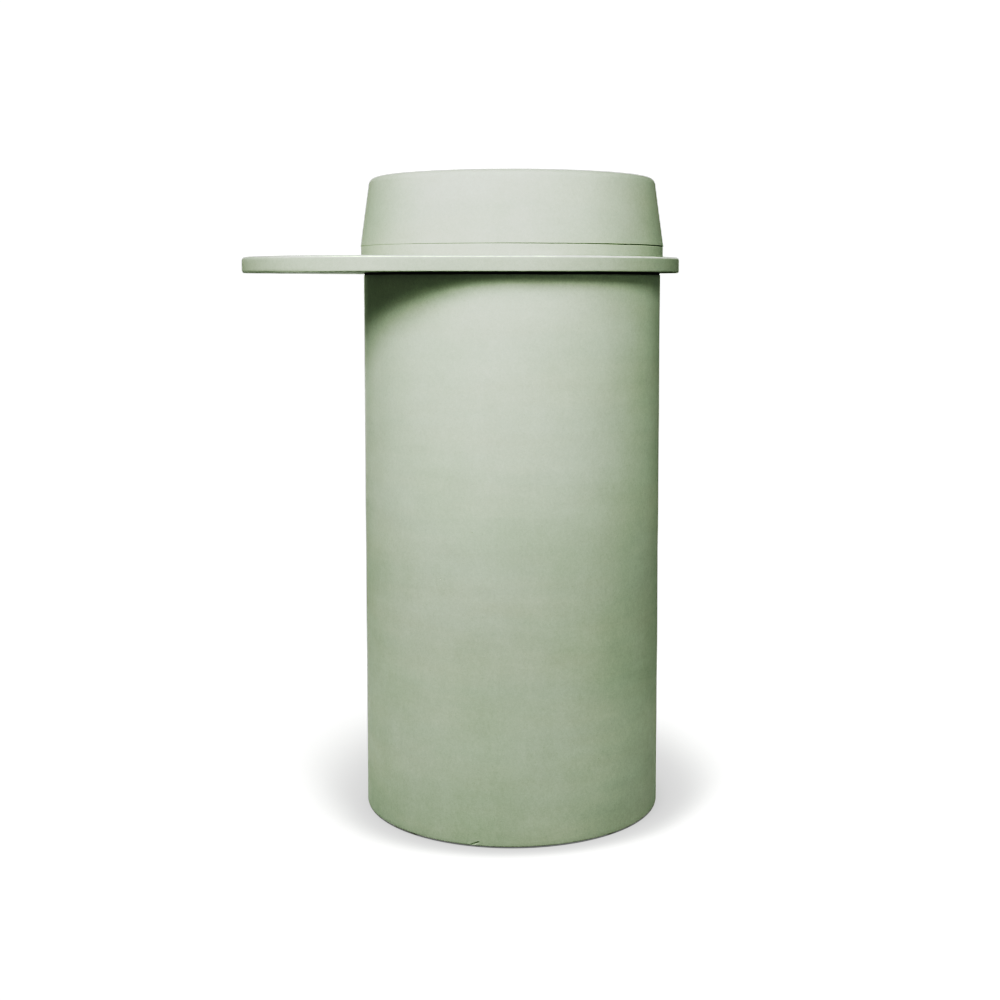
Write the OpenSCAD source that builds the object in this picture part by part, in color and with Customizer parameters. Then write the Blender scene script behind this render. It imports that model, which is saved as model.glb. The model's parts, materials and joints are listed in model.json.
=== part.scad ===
// Pedestal wash basin with a side tray, cast in pigmented concrete.
// +Z is up, the origin is on the pedestal's axis at floor level, the front faces -Y
// and the tray overhangs towards -X. The plumbing opening is at the back, towards +Y.
// Everything is in millimetres.

/* [Pedestal] */
// Outer diameter of the pedestal
pedestal_d = 400; // [380:2:420]
// Height of the concrete cylinder alone
pedestal_h = 718; // [690:1:760]
// Thickness of the pedestal's wall
pedestal_wall = 30; // [26:1:34]
// Thickness of the levelling pads under the pedestal
pad_t = 2; // [2:0.5:4]
// Width of the plumbing opening in the back
window_w = 150; // [120:5:180]
// Height of the plumbing opening in the back
window_h = 420; // [360:10:440]
// Height of the opening's lower edge above the floor
window_sill = 210; // [180:5:220]

/* [Tray] */
// Radius of the tray's two round ends
tray_r = 225; // [215:1:240]
// Distance from the pedestal's axis to the centre of the tray's outer end
tray_reach = 138; // [60:1:200]
// Thickness of the tray
tray_t = 21; // [18:1:26]
// Gap between the pedestal and the tray, filled by a recessed seal
tray_gap = 3.5; // [2:0.5:5]

/* [Collar] */
// Radius of the collar ring, and of the basin's base
collar_r = 204; // [200:1:206]
// Height of the collar ring
collar_h = 14; // [10:0.5:20]
// Height of the groove between the collar ring and the basin
groove_h = 2; // [1.5:0.5:3]

/* [Basin] */
// Height of the basin above the groove
basin_h = 89.5; // [85:0.5:110]
// Radius of the basin's side, carried up to the level of the rim
rim_r = 191.5; // [186:0.5:198]
// Radius of the rim's outer rounding
rim_round = 12; // [6:1:14]
// Radius inside the rim
bowl_r = 172; // [165:1:174]
// Radius where the funnel meets the waste
throat_r = 40; // [38:1:44]

/* [Waste] */
// How far the plug rises from its seat
plug_lift = 9; // [6:0.5:10]
// Radius of the waste's flange
flange_r = 33; // [32:0.5:34]
// Outer radius of the waste's threaded body
waste_r = 20.9; // [20.5:0.1:21]

/* [Trap] */
// Outer radius of the waste pipes
pipe_r = 16; // [15.5:0.5:16]
// Height of the outlet pipe's axis above the floor
outlet_z = 558; // [554:1:562]
// Distance from the pedestal's axis to the outlet pipe's end
outlet_y = 218; // [205:1:222]
// Outer radius of the trap's cup
cup_r = 34; // [33.5:0.5:36]

/* [Hidden] */
$fn = 96;

concrete = [0.73, 0.77, 0.70];
dark_rubber = [0.10, 0.10, 0.10];
zinc = [0.72, 0.74, 0.76];
chrome = [0.85, 0.86, 0.88];
brass = [0.80, 0.66, 0.36];

// Overlap given to cutting shapes, so that they pass their faces
cut = 1;
// Clearance round a piece that is fixed in its hole
fit = 0.1;
// Clearance round a piece that turns or slides as a screw thread does
thread_gap = 0.3;

// Levels, from the floor up
pedestal_top = pad_t + pedestal_h;
tray_under = pedestal_top + tray_gap;
tray_top = tray_under + tray_t;
collar_top = tray_top + collar_h;
basin_base = collar_top + groove_h;

// Pedestal
pedestal_r = pedestal_d / 2;
pedestal_inner_r = pedestal_r - pedestal_wall;
pedestal_arris = 3;
window_round = 25;
pad_length = 40;
pad_width = 22;
pad_inset = 4;
pad_angles = [45, 135, 225, 315];

// Angle brackets at the foot and under the tray
bracket_angles = [270, 30, 150];
bracket_w = 40;
bracket_t = 4;
bracket_foot = 50;
bracket_leg = 60;
bracket_stand_off = 2;
bracket_bend = 5;
bracket_outer = pedestal_inner_r - bracket_stand_off;
bracket_hole_r = 4.5;
bracket_bolt_r = 140;
bracket_screw_z = 38;

// Screws, nuts and cast-in inserts
screw_r = 4;
screw_head_r = 7.5;
screw_head_h = 5.3;
washer_r = 8;
washer_t = 1.6;
wall_screw_length = 20;
tray_screw_length = 16;
insert_r = 7;
insert_floor = 2;
wall_insert_length = 22;
tray_insert_length = 14;
basin_insert_length = 16;

// Tray
tray_arris = 3;
tray_opening_r = 66;
tray_seal_inner_r = 174;
tray_seal_recess = 5;

// Collar and the groove over it
collar_inner_r = 168;
collar_arris = 1.5;
basin_seal_inner_r = 174;
groove_depth = 2.2;

// Basin
hub_r = 60;
hub_drop = 22.5;
throat_z = 7.5;
bowl_side_h = 14;
bowl_shoulder_inset = 10;
bowl_shoulder_r = bowl_r - bowl_shoulder_inset;
bowl_shoulder_h = 26;
bowl_lip_round = 6;
recess_r = 34.5;
recess_depth = 3;
waste_hole_r = 23;
core_inner_r = 100;
core_outer_r = 164;
core_h = 17;
side_lean = atan((collar_r - rim_r) / basin_h);
rim_centre_z = basin_h - rim_round;
rim_centre_x = collar_r - (rim_round + rim_centre_z * sin(side_lean)) / cos(side_lean);

// Clamp that holds the basin and the collar down on the tray
rod_angles = [90, 210, 330];
rod_circle_r = 82;
rod_hole_r = 5.5;
rod_reach = 20;
rod_end_z = tray_under - rod_reach;
clamp_inner_r = 70;
clamp_outer_r = 98;
clamp_t = 4;
nut_h = 6.5;

// Waste
recess_z = basin_base + throat_z - recess_depth;
flange_seal_t = 1;
flange_seal_inset = 1;
flange_t = 2.6;
flange_arris = 1.2;
flange_top = recess_z + flange_seal_t + flange_t;
waste_bore_r = 18;
waste_end = 690;
hub_end = basin_base - hub_drop;
hub_seal_r = 29;
hub_seal_t = 4;
backnut_h = 14;
backnut_r = 34;
spider_z = 752;
spider_h = 5;
spider_boss_r = 9;
spider_hole_r = 6;
spider_arm_w = 3;
spider_overlap = 0.5;
spider_angles = [0, 120, 240];

// Plug, drawn raised
plug_base = flange_top + plug_lift;
plug_r = 31.5;
plug_edge_h = 3;
plug_dome_r = 180;
plug_seal_r = 17.6;
plug_seal_h = 4;
stem_r = 3;
stem_end = 729;
piston_r = 5.5;
piston_h = 3;
cartridge_r = 8;
cartridge_bore_r = 5.8;
cartridge_end = 704;
cartridge_floor = 2;
guide_h = 4;
guide_gap = 0.06;
spring_floor = cartridge_end + cartridge_floor;
spring_wire_r = 0.6;
spring_coil_r = 4.4;
spring_turns = 6;
spring_ring_steps = 20;
spring_sides = 8;

// Trap
pipe_wall = 1.5;
nut_lip_gap = 0.3;
washer_inset = 0.5;
inlet_nut_r = 27;
inlet_nut_top = 697;
inlet_nut_h = 25;
inlet_flange_r = 20.5;
inlet_flange_t = 3;
washer_flat_t = 3;
trap_neck_r = 22;
trap_neck_top = 596;
trap_neck_h = 20;
trap_lid_z = 576;
trap_lid_t = 4;
trap_r = 32;
trap_bore_r = 27;
trap_shoulder = 531;
trap_spigot_r = 30;
trap_spigot_h = 18;
top_nut_r = 25;
top_nut_h = 18;
top_nut_lip = 6;
top_washer_t = 4;
dip_r = 15;
dip_end = 478;
dip_flange_r = 20;
dip_flange_t = 3;
cup_seal_t = 4;
cup_h = 76;
cup_floor = 4;
cup_key_r = 12;
cup_key_h = 6;
boss_end = 58;
boss_start = 25;
outlet_nut_r = 26;
outlet_nut_start = 45;
outlet_nut_lip = 6;
outlet_washer_t = 2;
outlet_start = 28;
outlet_shoulder = 68;
outlet_spigot_r = 15.8;

// Section of a ring whose two outer arrises are rounded
module ring_section(inner, outer, height, arris) {
    translate([inner, 0])
        square([outer - inner - arris, height]);
    translate([inner, arris])
        square([outer - inner, height - 2 * arris]);
    for (z = [arris, height - arris])
        translate([outer - arris, z])
            circle(arris);
}

// Straight tube standing on the plane at z
module tube(outer, inner, z, height) {
    translate([0, 0, z])
        difference() {
            cylinder(r = outer, h = height);
            translate([0, 0, -cut])
                cylinder(r = inner, h = height + 2 * cut);
        }
}

// Places its child at a radius and an angle round the pedestal's axis
module around(angle, radius) {
    rotate([0, 0, angle])
        translate([radius, 0, 0])
            children();
}

// Lays its child, drawn along +Z, out along the radius at a height
module outwards(angle, radius, z) {
    around(angle, radius)
        translate([0, 0, z])
            rotate([0, 90, 0])
                children();
}

// Hexagon screw with its washer, its seat at z = 0 and its shank along +Z
module hex_screw(length) {
    cylinder(r = screw_r, h = length);
    translate([0, 0, -washer_t])
        cylinder(r = washer_r, h = washer_t);
    translate([0, 0, -washer_t - screw_head_h])
        cylinder(r = screw_head_r, h = screw_head_h, $fn = 6);
}

// Threaded insert along +Z from z = 0, open at z = 0
module insert(length) {
    difference() {
        cylinder(r = insert_r, h = length);
        translate([0, 0, -cut])
            cylinder(r = screw_r + fit, h = length - insert_floor + cut);
    }
}

module levelling_pads() {
    color(dark_rubber)
        for (angle = pad_angles)
            around(angle, pedestal_r - pad_inset - pad_width)
                translate([0, -pad_length / 2, 0])
                    cube([pad_width, pad_length, pad_t]);
}

// Angle bracket that stands on the floor, its upright against the pedestal's wall
module bracket(angle) {
    color(zinc)
        rotate([0, 0, angle])
            difference() {
                union() {
                    translate([bracket_outer - bracket_foot, -bracket_w / 2, 0])
                        cube([bracket_foot, bracket_w, bracket_t]);
                    translate([bracket_outer - bracket_t, -bracket_w / 2, 0])
                        cube([bracket_t, bracket_w, bracket_leg]);
                    difference() {
                        translate([bracket_outer - bracket_t - bracket_bend, -bracket_w / 2, 0])
                            cube([bracket_bend + bracket_t, bracket_w, bracket_t + bracket_bend]);
                        translate([bracket_outer - bracket_t - bracket_bend, 0, bracket_t + bracket_bend])
                            rotate([90, 0, 0])
                                cylinder(r = bracket_bend, h = bracket_w + 2 * cut, center = true);
                    }
                }
                translate([bracket_bolt_r, 0, -cut])
                    cylinder(r = bracket_hole_r, h = bracket_t + 2 * cut);
                translate([bracket_outer - bracket_t - cut, 0, bracket_screw_z])
                    rotate([0, 90, 0])
                        cylinder(r = bracket_hole_r, h = bracket_t + 2 * cut);
            }
}

// The same bracket hung under the tray
module tray_bracket(angle) {
    translate([0, 0, tray_under])
        mirror([0, 0, 1])
            bracket(angle);
}

module inserts_in_wall(z) {
    color(brass)
        for (angle = bracket_angles)
            outwards(angle, bracket_outer, z)
                insert(wall_insert_length);
}

module screws_in_wall(z) {
    color(zinc)
        for (angle = bracket_angles)
            outwards(angle, bracket_outer - bracket_t, z)
                hex_screw(wall_screw_length);
}

// Opening in the back of the pedestal, with round corners, cut along Y
module window() {
    corner_x = window_w / 2 - window_round;
    top = window_sill + window_h;
    depth = 2 * pedestal_wall + 2 * cut;
    start = pedestal_inner_r - pedestal_wall;
    translate([-window_w / 2, start, window_sill + window_round])
        cube([window_w, depth, window_h - 2 * window_round]);
    translate([-corner_x, start, window_sill])
        cube([2 * corner_x, depth, window_h]);
    for (x = [-corner_x, corner_x], z = [window_sill + window_round, top - window_round])
        translate([x, start, z])
            rotate([-90, 0, 0])
                cylinder(r = window_round, h = depth);
}

module pedestal() {
    color(concrete)
        difference() {
            translate([0, 0, pad_t])
                rotate_extrude()
                    ring_section(pedestal_inner_r, pedestal_r, pedestal_h, pedestal_arris);
            window();
            for (angle = bracket_angles, z = [bracket_screw_z, tray_under - bracket_screw_z])
                outwards(angle, bracket_outer, z)
                    cylinder(r = insert_r + fit, h = wall_insert_length);
        }
}

module tray_seal() {
    color(dark_rubber)
        tube(pedestal_r - tray_seal_recess, tray_seal_inner_r, pedestal_top, tray_gap);
}

// One round end of the tray
module tray_end() {
    rotate([0, 0, -90])
        rotate_extrude(angle = 180)
            ring_section(0, tray_r, tray_t, tray_arris);
}

// Stretch of the tray between its two round ends
module tray_middle() {
    rotate([90, 0, -90])
        linear_extrude(tray_reach)
            for (side = [0, 1])
                mirror([side, 0])
                    ring_section(0, tray_r, tray_t, tray_arris);
}

module tray() {
    color(concrete)
        difference() {
            translate([0, 0, tray_under]) {
                tray_end();
                tray_middle();
                translate([-tray_reach, 0, 0])
                    mirror([1, 0, 0])
                        tray_end();
            }
            translate([0, 0, tray_under - cut])
                cylinder(r = tray_opening_r, h = tray_t + 2 * cut);
            for (angle = rod_angles)
                around(angle, rod_circle_r)
                    translate([0, 0, tray_under - cut])
                        cylinder(r = rod_hole_r, h = tray_t + 2 * cut);
            for (angle = bracket_angles)
                around(angle, bracket_bolt_r)
                    translate([0, 0, tray_under - cut])
                        cylinder(r = insert_r + fit, h = tray_insert_length + cut);
        }
}

module tray_inserts() {
    color(brass)
        for (angle = bracket_angles)
            around(angle, bracket_bolt_r)
                translate([0, 0, tray_under])
                    insert(tray_insert_length);
}

module tray_screws() {
    color(zinc)
        for (angle = bracket_angles)
            around(angle, bracket_bolt_r)
                translate([0, 0, tray_under - bracket_t])
                    hex_screw(tray_screw_length);
}

module collar_ring() {
    color(concrete)
        translate([0, 0, tray_top])
            rotate_extrude()
                ring_section(collar_inner_r, collar_r, collar_h, collar_arris);
}

module basin_seal() {
    color(dark_rubber)
        tube(collar_r - groove_depth, basin_seal_inner_r, collar_top, groove_h);
}

// Half section of the basin without its bowl, standing on its base
module basin_outline() {
    polygon([
        [0, 0],
        [collar_r, 0],
        [rim_centre_x + rim_round * cos(side_lean), rim_centre_z + rim_round * sin(side_lean)],
        [rim_centre_x, rim_centre_z],
        [rim_centre_x, basin_h],
        [0, basin_h]
    ]);
    translate([rim_centre_x, rim_centre_z])
        circle(rim_round);
    translate([0, -hub_drop])
        square([hub_r, hub_drop + cut]);
}

// Half section of the space inside the bowl, and of the waste's hole below it
module bowl_outline() {
    polygon([
        [0, basin_h + cut],
        [bowl_r, basin_h + cut],
        [bowl_r, basin_h - bowl_side_h],
        [bowl_shoulder_r, basin_h - bowl_shoulder_h],
        [throat_r, throat_z],
        [recess_r, throat_z],
        [recess_r, throat_z - recess_depth],
        [waste_hole_r, throat_z - recess_depth],
        [waste_hole_r, -hub_drop - cut],
        [0, -hub_drop - cut]
    ]);
    difference() {
        translate([bowl_r, basin_h - bowl_lip_round])
            square([bowl_lip_round, bowl_lip_round + cut]);
        translate([bowl_r + bowl_lip_round, basin_h - bowl_lip_round])
            circle(bowl_lip_round);
    }
}

module basin() {
    color(concrete)
        translate([0, 0, basin_base])
            difference() {
                rotate_extrude()
                    difference() {
                        basin_outline();
                        bowl_outline();
                        translate([core_inner_r, -cut])
                            square([core_outer_r - core_inner_r, core_h + cut]);
                    }
                for (angle = rod_angles)
                    around(angle, rod_circle_r)
                        translate([0, 0, -cut])
                            cylinder(r = insert_r + fit, h = basin_insert_length + cut);
            }
}

module basin_inserts() {
    color(brass)
        for (angle = rod_angles)
            around(angle, rod_circle_r)
                translate([0, 0, basin_base])
                    insert(basin_insert_length);
}

module clamp_rods() {
    color(zinc)
        for (angle = rod_angles)
            around(angle, rod_circle_r)
                translate([0, 0, rod_end_z])
                    cylinder(r = screw_r, h = basin_base + basin_insert_length - insert_floor - rod_end_z);
}

module clamp_ring() {
    color(zinc)
        difference() {
            tube(clamp_outer_r, clamp_inner_r, tray_under - clamp_t, clamp_t);
            for (angle = rod_angles)
                around(angle, rod_circle_r)
                    translate([0, 0, tray_under - clamp_t - cut])
                        cylinder(r = bracket_hole_r, h = clamp_t + 2 * cut);
        }
}

module clamp_nuts() {
    color(zinc)
        for (angle = rod_angles)
            around(angle, rod_circle_r)
                translate([0, 0, tray_under - clamp_t - nut_h])
                    difference() {
                        cylinder(r = screw_head_r, h = nut_h, $fn = 6);
                        translate([0, 0, -cut])
                            cylinder(r = screw_r + fit, h = nut_h + 2 * cut);
                    }
}

module flange_seal() {
    color(dark_rubber)
        tube(flange_r - flange_seal_inset, waste_hole_r + flange_seal_inset, recess_z, flange_seal_t);
}

module waste_body() {
    color(chrome) {
        difference() {
            union() {
                translate([0, 0, flange_top - flange_t])
                    rotate_extrude()
                        ring_section(0, flange_r, flange_t, flange_arris);
                translate([0, 0, waste_end])
                    cylinder(r = waste_r, h = flange_top - waste_end - flange_t / 2);
            }
            translate([0, 0, waste_end - cut])
                cylinder(r = waste_bore_r, h = flange_top - waste_end + 2 * cut);
        }
        tube(spider_boss_r, spider_hole_r, spider_z, spider_h);
        for (angle = spider_angles)
            rotate([0, 0, angle])
                translate([spider_boss_r - spider_overlap, -spider_arm_w / 2, spider_z])
                    cube([waste_bore_r - spider_boss_r + 2 * spider_overlap, spider_arm_w, spider_h]);
    }
}

module hub_seal() {
    color(dark_rubber)
        tube(hub_seal_r, waste_r + fit, hub_end - hub_seal_t, hub_seal_t);
}

module waste_backnut() {
    color(brass)
        translate([0, 0, hub_end - hub_seal_t - backnut_h])
            difference() {
                cylinder(r = backnut_r, h = backnut_h, $fn = 6);
                translate([0, 0, -cut])
                    cylinder(r = waste_r + fit, h = backnut_h + 2 * cut);
            }
}

module plug_cartridge() {
    neck_top = spider_z + spider_h;
    color(brass)
        difference() {
            union() {
                translate([0, 0, cartridge_end])
                    cylinder(r = cartridge_r, h = spider_z - cartridge_end);
                translate([0, 0, spider_z - cut])
                    cylinder(r = spider_hole_r - fit, h = spider_h + cut);
            }
            translate([0, 0, spring_floor])
                cylinder(r = cartridge_bore_r, h = spider_z - guide_h - spring_floor);
            translate([0, 0, spring_floor])
                cylinder(r = stem_r + guide_gap, h = neck_top - spring_floor + cut);
        }
}

// Points of the spring's wire: ring i of the sweep, corner j of the ring
function spring_point(i, j) =
    let (
        turn = 360 * i / spring_ring_steps,
        rise = stem_end - spring_floor - 2 * spring_wire_r,
        z = spring_floor + spring_wire_r + rise * i / (spring_turns * spring_ring_steps),
        corner = 360 * j / spring_sides,
        r = spring_coil_r + spring_wire_r * cos(corner)
    )
    [r * cos(turn), r * sin(turn), z + spring_wire_r * sin(corner)];

module plug_spring() {
    rings = spring_turns * spring_ring_steps;
    sides = spring_sides;
    color(zinc)
        polyhedron(
            points = [for (i = [0:rings], j = [0:sides - 1]) spring_point(i, j)],
            faces = concat(
                [[for (j = [0:sides - 1]) j]],
                [for (i = [0:rings - 1], j = [0:sides - 1])
                    [i * sides + j, (i + 1) * sides + j,
                     (i + 1) * sides + (j + 1) % sides, i * sides + (j + 1) % sides]],
                [[for (j = [0:sides - 1]) rings * sides + sides - 1 - j]]
            )
        );
}

module plug_stem() {
    color(brass) {
        translate([0, 0, stem_end])
            cylinder(r = stem_r, h = plug_base - stem_end);
        translate([0, 0, stem_end])
            cylinder(r = piston_r, h = piston_h);
    }
}

// Low domed cap with an upright edge
module plug_cap() {
    dome_drop = plug_dome_r - sqrt(plug_dome_r * plug_dome_r - plug_r * plug_r);
    color(chrome)
        translate([0, 0, plug_base])
            rotate_extrude()
                intersection() {
                    square([plug_r, plug_edge_h + dome_drop]);
                    translate([0, plug_edge_h + dome_drop - plug_dome_r])
                        circle(plug_dome_r, $fn = 360);
                }
}

module plug_seal() {
    color(dark_rubber)
        tube(plug_seal_r, stem_r + fit, plug_base - plug_seal_h, plug_seal_h);
}

// Union nut along +Z: a lip round the pipe at the bottom, a threaded skirt above it
module union_nut(outer, bore, height, lip) {
    difference() {
        cylinder(r = outer, h = height);
        translate([0, 0, -cut])
            cylinder(r = pipe_r + nut_lip_gap, h = height + 2 * cut);
        translate([0, 0, lip])
            cylinder(r = bore, h = height - lip + cut);
    }
}

module inlet_nut() {
    lip = inlet_nut_h - (inlet_nut_top - waste_end) - washer_flat_t - inlet_flange_t;
    color(chrome)
        translate([0, 0, inlet_nut_top - inlet_nut_h])
            union_nut(inlet_nut_r, waste_r + fit, inlet_nut_h, lip);
}

module inlet_washer() {
    color(dark_rubber)
        tube(inlet_flange_r, pipe_r - pipe_wall, waste_end - washer_flat_t, washer_flat_t);
}

module inlet_pipe() {
    top = waste_end - washer_flat_t;
    color(chrome)
        difference() {
            union() {
                translate([0, 0, trap_lid_z])
                    cylinder(r = pipe_r, h = top - trap_lid_z);
                translate([0, 0, top - inlet_flange_t])
                    cylinder(r = inlet_flange_r, h = inlet_flange_t);
            }
            translate([0, 0, trap_lid_z - cut])
                cylinder(r = pipe_r - pipe_wall, h = top - trap_lid_z + 2 * cut);
        }
}

module trap_top_nut() {
    color(chrome)
        translate([0, 0, trap_neck_top + top_washer_t + top_nut_lip])
            mirror([0, 0, 1])
                union_nut(top_nut_r, trap_neck_r + fit, top_nut_h, top_nut_lip);
}

module trap_top_washer() {
    color(dark_rubber)
        tube(trap_neck_r - washer_inset, pipe_r + fit, trap_neck_top, top_washer_t);
}

module trap_body() {
    color(chrome)
        difference() {
            union() {
                translate([0, 0, trap_neck_top - trap_neck_h])
                    cylinder(r = trap_neck_r, h = trap_neck_h);
                translate([0, 0, trap_shoulder + cup_seal_t])
                    cylinder(r = trap_r, h = trap_lid_z + trap_lid_t - trap_shoulder - cup_seal_t);
                translate([0, 0, trap_shoulder + cup_seal_t - trap_spigot_h])
                    cylinder(r = trap_spigot_r, h = trap_spigot_h + cut);
                translate([0, 0, outlet_z])
                    rotate([-90, 0, 0])
                        cylinder(r = trap_neck_r, h = boss_end);
            }
            translate([0, 0, trap_shoulder - trap_spigot_h - cut])
                cylinder(r = trap_bore_r, h = trap_lid_z - trap_shoulder + trap_spigot_h + cut);
            translate([0, 0, trap_lid_z - cut])
                cylinder(r = pipe_r + nut_lip_gap, h = trap_neck_top - trap_lid_z + 2 * cut);
            translate([0, boss_start, outlet_z])
                rotate([-90, 0, 0])
                    cylinder(r = pipe_r + nut_lip_gap, h = boss_end - boss_start + cut);
        }
}

module dip_tube() {
    color(chrome)
        difference() {
            union() {
                translate([0, 0, dip_end])
                    cylinder(r = dip_r, h = trap_lid_z - dip_end);
                translate([0, 0, trap_lid_z - dip_flange_t])
                    cylinder(r = dip_flange_r, h = dip_flange_t);
            }
            translate([0, 0, dip_end - cut])
                cylinder(r = dip_r - pipe_wall, h = trap_lid_z - dip_end + 2 * cut);
        }
}

module cup_seal() {
    color(dark_rubber)
        tube(cup_r - washer_inset, trap_spigot_r + thread_gap, trap_shoulder, cup_seal_t);
}

module trap_cup() {
    color(chrome)
        difference() {
            union() {
                translate([0, 0, trap_shoulder - cup_h])
                    cylinder(r = cup_r, h = cup_h);
                translate([0, 0, trap_shoulder - cup_h - cup_key_h])
                    cylinder(r = cup_key_r, h = cup_key_h + cut, $fn = 6);
            }
            translate([0, 0, trap_shoulder - cup_h + cup_floor])
                cylinder(r = trap_spigot_r + thread_gap, h = cup_h - cup_floor + cut);
        }
}

module outlet_nut() {
    height = boss_end + outlet_washer_t + outlet_nut_lip - outlet_nut_start;
    color(chrome)
        translate([0, boss_end + outlet_washer_t + outlet_nut_lip, outlet_z])
            rotate([90, 0, 0])
                union_nut(outlet_nut_r, trap_neck_r + fit, height, outlet_nut_lip);
}

module outlet_washer() {
    color(dark_rubber)
        translate([0, boss_end, outlet_z])
            rotate([-90, 0, 0])
                tube(trap_neck_r - washer_inset, pipe_r + fit, 0, outlet_washer_t);
}

// Pipe to the wall, a little thinner up to its shoulder, where it sits in the trap's joint
module outlet_pipe() {
    color(chrome)
        translate([0, 0, outlet_z])
            rotate([-90, 0, 0]) {
                tube(pipe_r, pipe_r - pipe_wall, outlet_shoulder, outlet_y - outlet_shoulder);
                tube(outlet_spigot_r, pipe_r - pipe_wall, outlet_start, outlet_shoulder - outlet_start);
            }
}

levelling_pads();
bracket(bracket_angles[0]);  // floor_bracket_front
bracket(bracket_angles[1]);  // floor_bracket_right
bracket(bracket_angles[2]);  // floor_bracket_left
inserts_in_wall(bracket_screw_z);  // floor_inserts
screws_in_wall(bracket_screw_z);  // floor_screws
pedestal();
tray_seal();
tray_bracket(bracket_angles[0]);  // tray_bracket_front
tray_bracket(bracket_angles[1]);  // tray_bracket_right
tray_bracket(bracket_angles[2]);  // tray_bracket_left
inserts_in_wall(tray_under - bracket_screw_z);  // wall_inserts
screws_in_wall(tray_under - bracket_screw_z);  // wall_screws
tray_inserts();
tray_screws();
tray();
collar_ring();
basin_seal();
basin();
basin_inserts();
clamp_rods();
clamp_ring();
clamp_nuts();
flange_seal();
waste_body();
hub_seal();
waste_backnut();
plug_cartridge();
plug_spring();
plug_stem();
plug_cap();
plug_seal();
inlet_nut();
inlet_washer();
inlet_pipe();
trap_top_nut();
trap_top_washer();
trap_body();
dip_tube();
cup_seal();
trap_cup();
outlet_nut();
outlet_washer();
outlet_pipe();
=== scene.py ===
"""Looks of a concrete pedestal wash basin with a side tray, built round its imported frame, in metres."""

import json
import math
import random

import bmesh
import bpy
from mathutils import Matrix, Vector, noise
from mathutils.kdtree import KDTree


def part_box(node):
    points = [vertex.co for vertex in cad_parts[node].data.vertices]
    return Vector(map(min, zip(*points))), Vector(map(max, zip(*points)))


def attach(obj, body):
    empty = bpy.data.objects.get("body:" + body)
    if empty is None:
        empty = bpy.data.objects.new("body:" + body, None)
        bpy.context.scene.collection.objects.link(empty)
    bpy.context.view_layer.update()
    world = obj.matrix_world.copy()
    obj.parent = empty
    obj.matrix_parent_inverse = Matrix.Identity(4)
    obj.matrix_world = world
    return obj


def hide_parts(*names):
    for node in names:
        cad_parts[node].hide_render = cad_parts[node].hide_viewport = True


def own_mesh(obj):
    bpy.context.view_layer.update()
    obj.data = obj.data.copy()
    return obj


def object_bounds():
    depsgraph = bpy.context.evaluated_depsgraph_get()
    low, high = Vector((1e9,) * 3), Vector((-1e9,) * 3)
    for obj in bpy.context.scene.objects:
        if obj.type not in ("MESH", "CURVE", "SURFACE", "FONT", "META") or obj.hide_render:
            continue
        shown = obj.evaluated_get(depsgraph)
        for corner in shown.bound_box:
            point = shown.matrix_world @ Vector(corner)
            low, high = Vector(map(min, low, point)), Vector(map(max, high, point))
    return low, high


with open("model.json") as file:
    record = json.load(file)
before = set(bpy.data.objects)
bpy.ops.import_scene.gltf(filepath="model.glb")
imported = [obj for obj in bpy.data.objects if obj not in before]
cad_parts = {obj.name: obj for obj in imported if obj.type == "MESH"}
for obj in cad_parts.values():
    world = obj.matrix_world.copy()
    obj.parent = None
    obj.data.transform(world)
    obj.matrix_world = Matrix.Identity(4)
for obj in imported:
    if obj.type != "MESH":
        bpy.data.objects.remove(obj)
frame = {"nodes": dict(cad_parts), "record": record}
cad_box = [list(corner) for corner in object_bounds()]

MM = 0.001


def mm(*sizes):
    """Sizes in metres from millimetres."""
    return [size * MM for size in sizes]


# ---------------- sizes

# Levels and radii read from the frame
pedestal_low, pedestal_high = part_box("pedestal")
PEDESTAL_R = pedestal_high.x
PEDESTAL_BASE = pedestal_low.z
PEDESTAL_TOP = pedestal_high.z
tray_low, tray_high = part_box("tray")
TRAY_R = tray_high.y
TRAY_REACH = -tray_low.x - TRAY_R
collar_low, collar_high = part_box("collar_ring")
COLLAR_R = collar_high.x
basin_low, basin_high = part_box("basin")
RIM_TOP = basin_high.z
HUB_END = basin_low.z
BASIN_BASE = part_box("basin_seal")[1].z
CAP_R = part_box("plug_cap")[1].x
FLANGE_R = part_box("waste_body")[1].x
OUTLET_Z = sum(p.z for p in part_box("outlet_pipe")) / 2

# Sizes that the frame's boxes don't give
PEDESTAL_INNER_R = 170 * MM
WINDOW_HALF_WIDTH, WINDOW_SILL, WINDOW_HEAD = mm(75, 210, 630)
WINDOW_ROUND, WINDOW_ARRIS = mm(25, 3)
TRAY_OPENING_R, TRAY_EDGE_BAND = mm(66, 12)
COLLAR_INNER_R = 168 * MM
RIM_R, BOWL_R = mm(191.5, 172)
THROAT_R, THROAT_RISE, RECESS_R, RECESS_DEPTH = mm(40, 7.5, 34.5, 3)
HUB_R, WASTE_HOLE_R = mm(60, 23)
CORE_INNER_R, CORE_OUTER_R, CORE_H = mm(100, 164, 17)
BRACKET_ANGLES = (270, 30, 150)
BOLT_CIRCLE_R, SCREW_RISE = mm(140, 38)
ROD_ANGLES = (90, 210, 330)
ROD_CIRCLE_R, ROD_HOLE_R = mm(82, 5.5)
INSERT_R, SCREW_R, THREAD_PITCH, WASHER_THICK, HEX_R = mm(7, 4, 1.25, 1.6, 7.5)
PIPE_R, PIPE_BORE_R = mm(16, 14.5)
NUT_HOLE_R, NUT_BORE_R, WASHER_HOLE_R, WASHER_R = mm(16.3, 22.1, 16.1, 21.5)
SEAL_INNER_R = 174 * MM
SPIDER_LOW, SPIDER_HIGH = mm(752, 757)
STEM_HOLE_R = 3.06 * MM

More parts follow.
